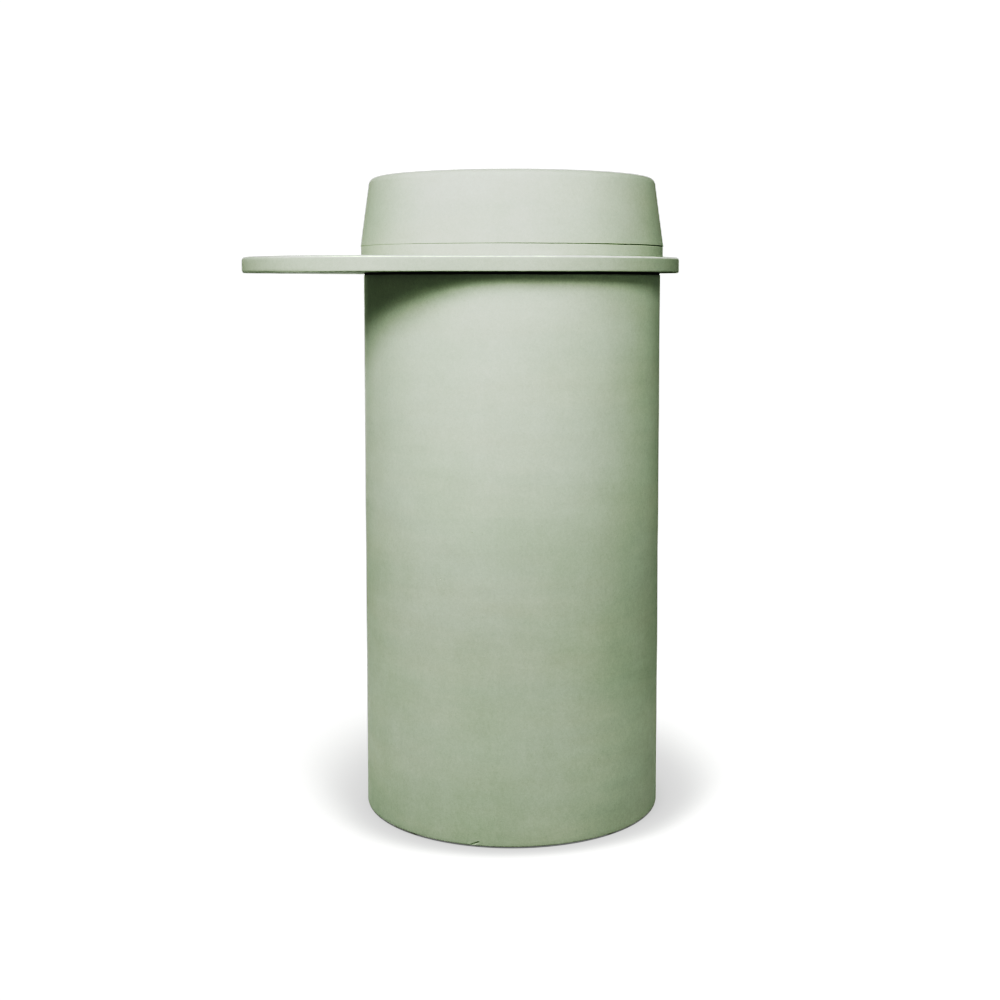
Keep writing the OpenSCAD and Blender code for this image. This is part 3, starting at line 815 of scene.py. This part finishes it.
def hexagon(corner_r, bore, low, high):
    """A hexagon nut or screw head with chamfered corners; a bore of 0 leaves it solid."""
    flat_r = corner_r * math.cos(math.pi / 6)
    face_r = 0.97 * flat_r
    slope = math.tan(math.pi / 3)
    drop = (corner_r - face_r) / slope
    rises = [drop * k / 5 for k in range(1, 6)]

    def shape(angle, r, z):
        if r < corner_r:
            return r
        flat = flat_r / math.cos(angle % (math.pi / 3) - math.pi / 6)
        return min(flat, face_r + slope * min(z - low, high - z))

    side = [(corner_r, low + h) for h in rises] + [(corner_r, high - h) for h in reversed(rises)]
    ease = 0.4 * MM if bore else 0
    outline = [(bore, low + ease), (bore + ease, low), (face_r, low)] + side
    outline += [(face_r, high), (bore + ease, high), (bore, high - ease)]
    if not bore:
        outline = outline[1:-1]
    return lathe(outline, 96, closed=bool(bore), shape=shape)


def union_nut(radius, pipe_hole, bore, low, high, lip):
    """A union nut with two round collars, and eight wrench flats between them; its lip is at the low end."""
    collar = 3.5 * MM
    waist = radius - 0.6 * MM
    flat_r = 0.945 * radius

    def shape(angle, r, z):
        if r < 0.96 * waist or not low + collar < z < high - collar:
            return r
        return min(r, flat_r / math.cos(angle % (math.pi / 4) - math.pi / 8))

    c, f = 1.2, 0.4
    return turned([
        (pipe_hole, low, f), (radius, low, c), (radius, low + collar, f), (waist, low + collar + 0.6 * MM, f),
        (waist, high - collar - 0.6 * MM, f), (radius, high - collar, f), (radius, high, c), (bore, high, f),
        (bore, low + lip, 0), (pipe_hole, low + lip, f),
    ], 128, shape, 1.5 * MM)


def plain_ring(inner, outer, low, high, ease=0.5, steps=144):
    """A ring of rectangular section with eased edges."""
    return turned([(inner, low, ease), (outer, low, ease), (outer, high, ease), (inner, high, ease)], steps)


def make_seals():
    low, high = span("tray_seal")
    step = low + PEDESTAL_LIP + 0.05 * MM
    a, b = 0.5, 0.3
    # The seal's outer lip reaches almost to the pedestal's face: a dark rubber strip set in the shadow gap, standing
    # in for its shade so the gap shows black all round
    show("tray_seal", turned([
        (SEAL_INNER_R, low, a), (195 * MM, low, b), (195 * MM, step, 0), (SEAL_LIP_R, step, b), (SEAL_LIP_R, high, b),
        (SEAL_INNER_R, high, a),
    ], 288))
    for node, inner, outer, ease_r in (
        ("basin_seal", SEAL_INNER_R, 199 * MM, 0.3),
        ("flange_seal", 24 * MM, 32 * MM, 0.3),
        ("hub_seal", 21 * MM, 29 * MM, 1),
        ("inlet_washer", PIPE_BORE_R, 20.5 * MM, 0.5),
        ("trap_top_washer", WASHER_HOLE_R, WASHER_R, 0.5),
        ("cup_seal", 30.3 * MM, 33.5 * MM, 1),
    ):
        show(node, plain_ring(inner, outer, *span(node), ease_r))
    low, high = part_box("outlet_washer")
    washer = plain_ring(WASHER_HOLE_R, WASHER_R, 0, high.y - low.y, 0.4, 96)
    show("outlet_washer", washer, place=on_outlet(low.y))


def make_inserts(node, places):
    """Brass inserts with straight knurling in two bands, open at their near end."""
    length = {"basin_inserts": 16 * MM, "tray_inserts": 14 * MM}.get(node, 22 * MM)
    bore = SCREW_R + 0.1 * MM

    def knurl(angle, r, z):
        in_band = r > INSERT_R - 0.05 * MM and 0.1 < z / length < 0.9 and abs(z / length - 0.5) > 0.06
        return r - (0.35 * MM * (0.5 - 0.5 * math.cos(30 * angle)) if in_band else 0)

    floor = length - 2 * MM
    corners = [
        (bore, floor, 0), (bore, 0, 0.5), (INSERT_R, 0, 0.5), (INSERT_R, length, 0.8), (0, length, 0), (0, floor, 0),
    ]
    show(node, joined([(turned(corners, 120, knurl, 1.5 * MM), place) for place in places]))


def threaded(corners, length):
    """A threaded rod from its outline's corners, up the Z axis."""
    outline = divide([Vector(p) for p in corners], 0.25 * MM, closed=False)
    shape = thread(SCREW_R - 0.6 * MM, SCREW_R, THREAD_PITCH, 0, length)
    return lathe(outline, 32, closed=False, shape=shape)


def screw(length):
    """A hexagon screw and its washer, seated at z = 0, with its threaded shank along +Z."""
    r, face, e = SCREW_R, -WASHER_THICK, 0.2
    washer = turned([(r, face, e), (2 * r, face, 0.4), (2 * r, 0, e), (r, 0, e)])
    head = hexagon(HEX_R, 0, -6.9 * MM, face)
    start, tip = -1.7 * MM, 0.8 * MM
    shank = threaded([(0, start), (r, start), (r, length - tip), (r - tip, length), (0, length)], length)
    return joined([(bm, Matrix()) for bm in (washer, head, shank)])


def make_screws(node, length, places):
    show(node, joined([(screw(length), place) for place in places]))


def bracket(place):
    """A bent steel angle with round corners: cut flat, drilled, given its thickness and then bent."""
    half, thick, bend_r = mm(20, 4, 5)
    outer, foot, leg = mm(168, 50, 60)
    flat = foot - bend_r - thick
    arc = (bend_r + thick / 2) * math.pi / 2
    total = flat + arc + leg - bend_r - thick
    holes = [foot - (outer - BOLT_CIRCLE_R), flat + arc + SCREW_RISE - bend_r - thick]
    bm = bmesh.new()
    plate = soften([(0, -half, 6), (total, -half, 6), (total, half, 6), (0, half, 6)], segments=8)
    turns = [math.pi * k / 20 for k in range(40)]
    loops = [plate] + [
        [Vector((s + 4.5 * MM * math.cos(a), 4.5 * MM * math.sin(a))) for a in turns] for s in holes
    ]
    edges = []
    for loop in loops:
        verts = [bm.verts.new((p.x, p.y, 0)) for p in loop]
        edges += [bm.edges.new((a, b)) for a, b in zip(verts, verts[1:] + verts[:1])]
    bmesh.ops.triangle_fill(bm, edges=edges, use_beauty=True)
    for k in range(13):
        bmesh.ops.bisect_plane(bm, geom=bm.verts[:] + bm.edges[:] + bm.faces[:], dist=1e-7,
                               plane_co=(flat + arc * k / 12, 0, 0), plane_no=(1, 0, 0))
    grown = bmesh.ops.extrude_face_region(bm, geom=bm.faces[:])
    for v in grown["geom"]:
        if isinstance(v, bmesh.types.BMVert):
            v.co.z = thick
    for v in bm.verts:
        s, w, t = v.co
        if s <= flat:
            v.co = (outer - foot + s, w, t)
        elif s >= flat + arc:
            v.co = (outer - t, w, thick + bend_r + s - flat - arc)
        else:
            turn = (s - flat) / arc * math.pi / 2
            reach = bend_r + thick - t
            v.co = (outer - thick - bend_r + reach * math.sin(turn), w, thick + bend_r - reach * math.cos(turn))
    bm.transform(place)
    return bm


def make_brackets():
    hung = Matrix.Translation((0, 0, tray_low.z)) @ Matrix.Scale(-1, 4, (0, 0, 1))
    for side, angle in zip(("front", "right", "left"), BRACKET_ANGLES):
        turn = Matrix.Rotation(math.radians(angle), 4, "Z")
        for kind, place in (("floor", turn), ("tray", hung @ turn)):
            ease(show(f"{kind}_bracket_{side}", bracket(place)), 0.5 * MM)


def make_fasteners():
    reach, low = PEDESTAL_INNER_R - 2 * MM, tray_low.z
    for band, z in (("floor", SCREW_RISE), ("wall", low - SCREW_RISE)):
        make_inserts(band + "_inserts", on_brackets(reach, z))
        make_screws(band + "_screws", 20 * MM, on_brackets(reach - 4 * MM, z))
    make_inserts("tray_inserts", on_brackets(BOLT_CIRCLE_R, low, lean=0))
    make_screws("tray_screws", 16 * MM, on_brackets(BOLT_CIRCLE_R, low - 4 * MM, lean=0))
    make_inserts("basin_inserts", on_rods(BASIN_BASE))


def make_clamp():
    low, high = span("clamp_ring")
    ring = show("clamp_ring", plain_ring(70 * MM, 98 * MM, low, high))
    cutter = bmesh.new()
    for place in on_rods(low - 2 * MM):
        rod(cutter, place, 4.5 * MM, 8 * MM)
    cut_out(ring, cutter)
    low, high = span("clamp_rods")
    length, c, r = high - low, 0.8 * MM, SCREW_R
    outline = [(0, 0), (r - c, 0), (r, c), (r, length - c), (r - c, length), (0, length)]
    show("clamp_rods", joined([(threaded(outline, length), place) for place in on_rods(low)]))
    low, high = span("clamp_nuts")
    nuts = [(hexagon(HEX_R, SCREW_R + 0.1 * MM, 0, high - low), place) for place in on_rods(low)]
    show("clamp_nuts", joined(nuts))


def make_waste():
    low, high = span("waste_body")
    bore, r = mm(18, 20.9)
    under, e = high - 2.6 * MM, 0.3
    tube = turned([
        (bore, low, e), (r, low, 0.6), (r, under, 0.8), (FLANGE_R - 1.2 * MM, under, e),
        (FLANGE_R, under + 0.9 * MM, 0.8), (FLANGE_R - 1.6 * MM, high, 1),
        (bore + 6 * MM, high - 0.2 * MM, 3), (bore, high - 2.4 * MM, 3),
    ], shape=thread(r - 1.2 * MM, r, 2.31 * MM, low, low + 52 * MM), step=0.45 * MM)
    low, high = SPIDER_LOW, SPIDER_HIGH
    boss = turned([(6 * MM, low, e), (9 * MM, low, 0.8), (9 * MM, high, 0.8), (6 * MM, high, e)], 48)
    parts = [(tube, Matrix()), (boss, Matrix())]
    for degrees in (0, 120, 240):
        arm = bmesh.new()
        bmesh.ops.create_cube(arm, size=1, matrix=Matrix.Translation((13.5 * MM, 0, (low + high) / 2))
                              @ Matrix.Diagonal((10 * MM, 3 * MM, high - low, 1)))
        bmesh.ops.bevel(arm, geom=arm.edges[:], offset=0.6 * MM, segments=3, affect="EDGES")
        parts.append((arm, Matrix.Rotation(math.radians(degrees), 4, "Z")))
    show("waste_body", joined(parts))
    low, high = span("waste_backnut")
    show("waste_backnut", hexagon(34 * MM, 21 * MM, low, high))


def make_plug():
    low, high = span("plug_cap")
    r, dome_r, edge = CAP_R, 180 * MM, low + 3 * MM
    crown_r = r - 2.5 * MM
    rim = soften([(0, low, 0), (r, low, 0.7), (r, edge, 0.9), (crown_r, edge + 0.45 * MM, 0)], closed=False)
    dome = [
        Vector((q, high - dome_r + math.sqrt(dome_r ** 2 - q * q)))
        for q in (crown_r * (1 - k / 16) for k in range(1, 17))
    ]
    show("plug_cap", lathe(divide(rim + dome, 2 * MM, closed=False), 144, closed=False))
    low, high = span("plug_seal")
    e, inner, outer = 0.6, 3.1 * MM, 17.6 * MM
    show("plug_seal", turned([
        (inner, low, e), (outer - 2 * MM, low, e), (outer, low + 1.6 * MM, e), (outer, high, e), (inner, high, e),
    ]))
    low, high = span("plug_stem")
    foot_r, stem_r, foot = 5.5 * MM, 3 * MM, low + 3 * MM
    show("plug_stem", solid([
        (0, low, 0), (foot_r, low, 0.4), (foot_r, foot, 0.4), (stem_r, foot, 0.3), (stem_r, high, 0), (0, high, 0),
    ], 48))


def make_cartridge():
    low, top = span("plug_cartridge")
    neck, floor = SPIDER_LOW, low + 2 * MM
    e, r, groove_r, bore = 0.4, 8 * MM, 8 * MM - 0.6 * MM, 5.8 * MM
    corners = [(0, floor, 0), (0, low, 0), (r, low, 1.2)]
    for z in (low + 8 * MM, low + 12 * MM, low + 38 * MM):
        corners += [(r, z, e), (groove_r, z + 0.5 * MM, 0), (groove_r, z + 1.5 * MM, 0), (r, z + 2 * MM, e)]
    corners += [
        (r, neck, e), (5.9 * MM, neck, 0), (5.9 * MM, top, e), (STEM_HOLE_R, top, e),
        (STEM_HOLE_R, neck - 4 * MM, 0), (bore, neck - 4 * MM, 0), (bore, floor, 0),
    ]
    show("plug_cartridge", solid(corners, 72))
    low, high = span("plug_spring")
    wire, coil, turns, around, sides = 0.6 * MM, 4.4 * MM, 6, 36, 12
    bm = bmesh.new()
    rings = []
    for i in range(turns * around + 1):
        turn = 2 * math.pi * i / around
        z = low + wire + (high - low - 2 * wire) * i / (turns * around)
        ring = []
        for k in range(sides):
            a = 2 * math.pi * k / sides
            r = coil + wire * math.cos(a)
            ring.append(bm.verts.new((r * math.cos(turn), r * math.sin(turn), z + wire * math.sin(a))))
        rings.append(ring)
    bridge(bm, rings)
    bm.faces.new(rings[0])
    bm.faces.new(rings[-1])
    spring = show("plug_spring", bm)
    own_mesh(spring)


def make_pipes():
    e = 0.4
    for node, bore, r, flange_r, lip_e in (
        ("inlet_pipe", PIPE_BORE_R, PIPE_R, 20.5 * MM, 1),
        ("dip_tube", 13.5 * MM, 15 * MM, 20 * MM, e),
    ):
        low, high = span(node)
        under = high - 3 * MM
        show(node, turned([
            (bore, low, e), (r, low, e), (r, under, 1.5), (flange_r, under, lip_e),
            (flange_r, high, lip_e), (bore, high, lip_e),
        ]))
    low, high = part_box("outlet_pipe")
    length, shoulder = high.y - low.y, 68 * MM - low.y
    tail_r, end_e = 15.8 * MM, 0.6
    pipe = turned([
        (PIPE_BORE_R, 0, e), (tail_r, 0, e), (tail_r, shoulder, 0), (PIPE_R, shoulder, 0.1),
        (PIPE_R, length, end_e), (PIPE_BORE_R, length, end_e),
    ])
    show("outlet_pipe", pipe, place=on_outlet(low.y))


def make_trap():
    low, top = span("trap_body")
    shoulder, lid = mm(535, 580)
    bore, thread_r, neck_r, r, chamfer = mm(27, 30, 22, 32, 0.8)
    e, f, hole, wall_r = 0.5, 0.8, NUT_HOLE_R, r - chamfer
    vessel = turned([
        (bore, low, e), (thread_r, low, f), (thread_r, shoulder, 0), (r, shoulder, f), (r, shoulder + 4 * MM, e),
        (wall_r, shoulder + 4.8 * MM, e), (wall_r, lid, 7), (neck_r, lid, 2.5), (neck_r, top, f),
        (hole, top, e), (hole, lid - 4 * MM, 0), (bore, lid - 4 * MM, 3),
    ], 144, thread(28.9 * MM, thread_r, 4 * MM, low, shoulder - 1 * MM), 0.8 * MM, segments=8)
    end, flare, steps = 58 * MM, 4 * MM, 96
    boss = bmesh.new()
    rings = []

    def ring(radius, y=None, gap=0.0):
        verts = []
        for k in range(steps):
            a = 2 * math.pi * k / steps
            x, z = radius * math.cos(a), radius * math.sin(a)
            depth = y if y is not None else math.sqrt(wall_r ** 2 - x * x) + gap
            verts.append(boss.verts.new((x, depth, OUTLET_Z + z)))
        rings.append(verts)

    for k in range(7):
        a = math.pi / 2 * k / 6
        ring(neck_r + flare * (1 - math.sin(a)), gap=flare * (1 - math.cos(a)) - 0.3 * MM)
    for radius, y in (
        (neck_r, end - 10 * MM), (neck_r, end - chamfer), (neck_r - chamfer, end), (hole, end), (hole, 30 * MM),
    ):
        ring(radius, y)
    bridge(boss, rings)
    show("trap_body", joined([(vessel, Matrix()), (boss, Matrix())]))


def make_cup():
    """The trap's cup: ribs for the hand below its lip, a round foot and a hexagon key."""
    low, high = span("trap_cup")
    key_h, r, bore = mm(6, 34, 30.3)
    base = low + key_h
    band_low, band_high = high - 20 * MM, high - 4 * MM

    def ribs(angle, radius, z):
        if radius < r - 1.2 * MM or not band_low < z < band_high:
            return radius
        share = min(1, (z - band_low) / (2 * MM), (band_high - z) / (2 * MM))
        return radius - 0.9 * MM * share * (0.5 - 0.5 * math.cos(36 * angle)) ** 0.7

    floor = base + 4 * MM
    corners = [(0, floor, 0), (0, base, 0), (r, base, 9), (r, high, 0.8), (bore, high, 0.8), (bore, floor, 6)]
    cup = turned(corners, 288, ribs, 1.5 * MM, segments=10)
    key = hexagon(12 * MM, 0, low, base + 1 * MM)
    show("trap_cup", joined([(cup, Matrix()), (key, Matrix())]))


def make_nuts():
    show("inlet_nut", union_nut(27 * MM, NUT_HOLE_R, 21 * MM, *span("inlet_nut"), 12 * MM))
    low, high = span("trap_top_nut")
    turn_over = Matrix.Translation((0, 0, low + high)) @ Matrix.Rotation(math.pi, 4, "X")
    show("trap_top_nut", union_nut(25 * MM, NUT_HOLE_R, NUT_BORE_R, low, high, 6 * MM), place=turn_over)
    low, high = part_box("outlet_nut")
    nut = union_nut(26 * MM, NUT_HOLE_R, NUT_BORE_R, 0, high.y - low.y, 6 * MM)
    show("outlet_nut", nut, place=on_outlet(high.y, 90))


def ease(obj, width):
    """Rounds a piece's sharp edges a little."""
    bevel = obj.modifiers.new("ease", "BEVEL")
    bevel.width, bevel.segments = width, 3
    bevel.limit_method = "ANGLE"
    bevel.angle_limit = math.radians(40)
    bevel.harden_normals = True


make_seals()
make_brackets()
make_fasteners()
make_clamp()
make_waste()
make_plug()
make_cartridge()
make_pipes()
make_trap()
make_cup()
make_nuts()

pads = frame["nodes"]["levelling_pads"]
pads.data.materials.clear()
pads.data.materials.append(rubber("grey_rubber", (0.40, 0.40, 0.38), (0.50, 0.50, 0.48)))
ease(pads, 0.35 * MM)

# ---------------- floor, light and camera

WORLD_FILL = 0.2
BACKDROP = 1.05
FILL_COLOUR = (0.93, 1.0, 0.87, 1)
FLOOR_R = 1.0
FLOOR_GLOW = 1.33
FLOOR_GLOW_SHARE = 0.7
# Shape and strength of the shade painted on the floor round the pedestal's foot, and of the painted dark under it
SHADE_SPREAD = 2.19
SHADE_CENTRE = mm(-56, -128)
SHADE_SIZE = mm(408, 420)
SHADE_POWER = 1.62
SHADE_STRENGTH = 2.26
SHADE_LEAN = (5.37, 2.94)
UNDER_SHADE = 0.74
FLOOR_FADE = (0.55, 0.95)
CAMERA_LENS = 52.38
CAMERA_SHIFT = (-0.012, -0.1019)
CAMERA_PLACE = (0, -1.982, 0.711)
CAMERA_TILT = 4.54


def make_floor():
    """A pale round floor, with a soft shade painted round the pedestal's foot, that fades out into the white
    backdrop.
    """
    bm = bmesh.new()
    bmesh.ops.create_circle(bm, cap_ends=True, segments=96, radius=FLOOR_R)
    floor = add_object("floor", to_mesh(bm, "floor"))
    m = Nodes("floor")
    cloud = m.fit(m.noise(2.0, 3), 0.3, 0.7, 0, 1)
    m.surface(m.mix(cloud, (0.80, 0.80, 0.80), (0.82, 0.815, 0.81)), Roughness=0.8, Specular_IOR_Level=0.2)
    glow = m.add("Emission", {"Strength": FLOOR_GLOW})
    lit = m.blend(FLOOR_GLOW_SHARE, m.shader.outputs[0], glow.outputs[0])

    # A soft egg-shaped shade painted round the foot, wider at the back, and painted darkness in the gap under the
    # pedestal
    x, y = m.part(m.place, "X"), m.part(m.place, "Y")
    spread = m.sum(1, m.times(y, SHADE_SPREAD))
    egg = m.add("CombineXYZ")
    for axis, value, centre, size in zip("XY", (x, y), SHADE_CENTRE, SHADE_SIZE):
        offset = m.sum(m.sum(value, spread, "DIVIDE"), centre, "SUBTRACT")
        m.link(m.sum(offset, size, "DIVIDE"), egg, axis)
    inside = m.sum(m.fit(m.length(egg.outputs[0]), 0, 1, 1, 0), SHADE_POWER, "POWER")
    lean = m.sum(m.times(x, SHADE_LEAN[0]), m.times(y, SHADE_LEAN[1]))
    shade = m.times(inside, m.sum(lean, SHADE_STRENGTH))
    gap = m.fit(m.length(m.place), PEDESTAL_R - 1 * MM, PEDESTAL_R + 0.5 * MM, UNDER_SHADE, 0)
    shade = m.sum(shade, gap, "MAXIMUM")
    shaded = m.blend(shade, lit, m.add("Emission", {"Strength": 0}).outputs[0])
    clear = m.add("BsdfTransparent")
    fade = m.fit(m.length(m.place), *FLOOR_FADE, 0, 1)
    m.link(m.blend(fade, shaded, clear.outputs[0]), m.tree.nodes["Material Output"], "Surface")
    floor.data.materials.append(m.material)
    floor.visible_diffuse = False


def make_world():
    """A white backdrop for the camera, and a dim even fill for the object."""
    world = bpy.data.worlds.new("studio")
    bpy.context.scene.world = world
    world.use_nodes = True
    tree = world.node_tree
    fill = tree.nodes["Background"]
    fill.inputs["Color"].default_value = FILL_COLOUR
    fill.inputs["Strength"].default_value = WORLD_FILL
    white = add_node(tree, "ShaderNodeBackground", {"Color": (1, 1, 1, 1), "Strength": BACKDROP})
    seen = add_node(tree, "ShaderNodeLightPath").outputs["Is Camera Ray"]
    mix = add_node(tree, "ShaderNodeMixShader", {0: seen, 1: fill.outputs[0], 2: white.outputs[0]})
    tree.links.new(mix.outputs[0], tree.nodes["World Output"].inputs["Surface"])


def make_light(name, azimuth, elevation, distance, size, power, aim_z):
    """A square softbox that faces the object's axis; azimuth 0 is the front, and it grows to the right."""
    light = bpy.data.lights.new(name, "AREA")
    light.shape = "SQUARE"
    light.size = size
    light.energy = power
    obj = add_object(name, light)
    a, e = math.radians(azimuth), math.radians(elevation)
    aim = Vector((0, 0, aim_z))
    away = Vector((math.sin(a) * math.cos(e), -math.cos(a) * math.cos(e), math.sin(e)))
    obj.location = aim + away * distance
    obj.rotation_mode = "QUATERNION"
    obj.rotation_quaternion = away.to_track_quat("Z", "Y")
    obj.visible_camera = False


def make_camera():
    camera = bpy.data.cameras.new("camera")
    camera.lens = CAMERA_LENS
    camera.sensor_width = 36
    camera.shift_x, camera.shift_y = CAMERA_SHIFT
    obj = add_object("camera", camera)
    obj.location = CAMERA_PLACE
    obj.rotation_euler = (math.radians(90 - CAMERA_TILT), 0, 0)
    bpy.context.scene.camera = obj


# Tone curve: scene light, then what is shown of it
TONE = [
    (0, 0), (0.10, 0.008), (0.16, 0.03), (0.21, 0.08), (0.27, 0.18), (0.35, 0.345), (0.42, 0.46), (0.52, 0.58),
    (0.62, 0.66), (0.78, 0.745), (1, 1),
]


def set_tone():
    """Deepens the shadows and holds back the highlights."""
    settings = bpy.context.scene.view_settings
    settings.view_transform = "Standard"
    settings.use_curve_mapping = True
    curve = settings.curve_mapping.curves[3]
    for light, shown in TONE[1:-1]:
        curve.points.new(light, shown)
    for point in curve.points:
        point.handle_type = "AUTO_CLAMPED"
    settings.curve_mapping.update()


make_floor()
make_world()
# Name, azimuth, elevation, distance, size, power, and the height of the place that it faces
LIGHTS = [
    ("front", -5, 24, 2.1, 0.4, 7.3, 0.6),
    ("front_low", -5, 5, 2.1, 0.4, 1.65, 0.6),
    ("right_low", 30, 9, 2.1, 0.4, 4.35, 0.6),
    ("near_left", -35, 25, 1.2, 0.4, 6.2, 0.75),
    ("near_side", -65, 25, 1.2, 0.4, 0.8, 0.75),
    ("near_right", 25, 29, 1.2, 0.4, 3.85, 0.75),
    ("side_right", 95, 12, 1.6, 0.6, 0.6, 0.45),
    ("foot_left", -80, 3, 0.9, 0.5, 1.4, 0.1),
    ("foot_right", 80, 3, 0.9, 0.5, 0.6, 0.1),
    ("foot_front", 5, 2, 0.6, 0.3, 0.08, 0.02),
    ("rear_left", 210, 30, 2.2, 0.8, 2.5, 0.6),
    ("rear_right", 150, 30, 2.2, 0.8, 1.5, 0.6),
    ("rear", 180, 25, 2.2, 0.8, 18.0, 0.6),
    ("rear_low", 200, 6, 1.6, 0.5, 5.0, 0.4),
    ("inside", 0, -90, 0.35, 0.2, 0.3, 0.45),
]
for values in LIGHTS:
    make_light(*values)
make_camera()
set_tone()
